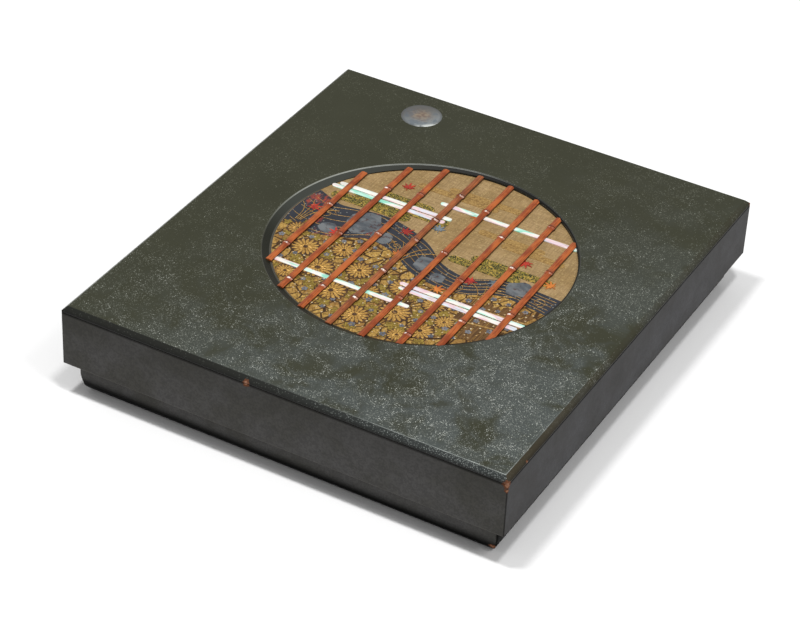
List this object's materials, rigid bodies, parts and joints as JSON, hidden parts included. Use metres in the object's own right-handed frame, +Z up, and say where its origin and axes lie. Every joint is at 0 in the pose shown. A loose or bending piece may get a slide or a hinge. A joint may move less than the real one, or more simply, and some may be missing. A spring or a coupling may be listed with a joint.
{
  "type": "inkstone box",
  "caption": "Lacquered Japanese inkstone box: an overhanging lid with a round lattice window lifts off a base that holds an inkstone, water dropper, ink stick and brush tray.",
  "frame": {"origin": "centre of the box's footprint, on the surface that it stands on", "axes": "+Z up, -Y towards the front, +X to the right; the silver disc is near the back left corner of the lid"},
  "size_m": [0.22, 0.245, 0.0474],
  "materials": {
    "side_lacquer": "smooth dark grey lacquer over wood, satin",
    "top_lacquer": "dark olive-grey lacquer over wood with scattered silver flecks",
    "inlaid_panel": "gold and coloured lacquer patterns on a wooden disc",
    "tarnished_silver": "silver, tarnished grey and brown in the middle",
    "red_bamboo": "orange-red lacquered split bamboo",
    "brown_twig": "brown lacquered twig",
    "pearl_shell": "iridescent mother-of-pearl",
    "inner_lacquer": "black lacquer with fine gold dust",
    "slate": "matte blue-black slate",
    "bronze": "brown patinated copper alloy",
    "pressed_ink": "pressed soot ink",
    "plain_bamboo": "plain bamboo cane",
    "brush_hair": "starched brush hair"
  },
  "bodies": {
    "base": {"base_floor": "side_lacquer", "base_front": "side_lacquer", "base_back": "side_lacquer", "base_left": "side_lacquer", "base_right": "side_lacquer"},
    "lid": {"lid_top": "top_lacquer", "lid_front": "side_lacquer", "lid_back": "side_lacquer", "lid_left": "side_lacquer", "lid_right": "side_lacquer", "window_panel": "inlaid_panel", "moon_disc": "tarnished_silver", "bamboo_bar_1": "red_bamboo", "bamboo_bar_2": "red_bamboo", "bamboo_bar_3": "red_bamboo", "bamboo_bar_4": "brown_twig", "bamboo_bar_5": "red_bamboo", "bamboo_bar_6": "red_bamboo", "bamboo_bar_7": "red_bamboo", "bamboo_bar_8": "red_bamboo", "shell_strip_1": "pearl_shell", "shell_strip_2": "pearl_shell", "shell_strip_3": "pearl_shell", "shell_strip_4": "pearl_shell", "shell_strip_5": "pearl_shell", "shell_strip_6": "pearl_shell"},
    "inner_board": {"inner_board": "inner_lacquer"},
    "inkstone": {"inkstone": "slate"},
    "water_dropper": {"water_dropper": "bronze"},
    "brush_tray": {"brush_tray": "inner_lacquer", "brush_rest_front": "inner_lacquer", "brush_rest_back": "inner_lacquer"},
    "ink_stick": {"ink_stick": "pressed_ink"},
    "brush_1": {"brush_1_handle": "plain_bamboo", "brush_1_tip": "brush_hair"},
    "brush_2": {"brush_2_handle": "plain_bamboo", "brush_2_tip": "brush_hair"}
  },
  "joints": [
    {"name": "lid_lift", "type": "slide", "parent": "base", "child": "lid", "axis": [0, 0, 1], "range_m": [0, 0.18]},
    {"name": "board_lift", "type": "slide", "parent": "base", "child": "inner_board", "axis": [0, 0, 1], "range_m": [0, 0.045]},
    {"name": "stone_lift", "type": "slide", "parent": "inner_board", "child": "inkstone", "axis": [0, 0, 1], "range_m": [0, 0.036]},
    {"name": "dropper_lift", "type": "slide", "parent": "inner_board", "child": "water_dropper", "axis": [0, 0, 1], "range_m": [0, 0.036]},
    {"name": "tray_lift", "type": "slide", "parent": "base", "child": "brush_tray", "axis": [0, 0, 1], "range_m": [0, 0.045]},
    {"name": "ink_stick_lift", "type": "slide", "parent": "brush_tray", "child": "ink_stick", "axis": [0, 0, 1], "range_m": [0, 0.036]},
    {"name": "brush_1_lift", "type": "slide", "parent": "brush_tray", "child": "brush_1", "axis": [0, 0, 1], "range_m": [0, 0.036]},
    {"name": "brush_2_lift", "type": "slide", "parent": "brush_tray", "child": "brush_2", "axis": [0, 0, 1], "range_m": [0, 0.036]}
  ],
  "couplings": [
    {"joint": "board_lift", "follows": "lid_lift", "ratio": 0.25},
    {"joint": "stone_lift", "follows": "lid_lift", "ratio": 0.2},
    {"joint": "dropper_lift", "follows": "lid_lift", "ratio": 0.2},
    {"joint": "tray_lift", "follows": "lid_lift", "ratio": 0.25},
    {"joint": "ink_stick_lift", "follows": "lid_lift", "ratio": 0.2},
    {"joint": "brush_1_lift", "follows": "lid_lift", "ratio": 0.2},
    {"joint": "brush_2_lift", "follows": "lid_lift", "ratio": 0.2}
  ]
}
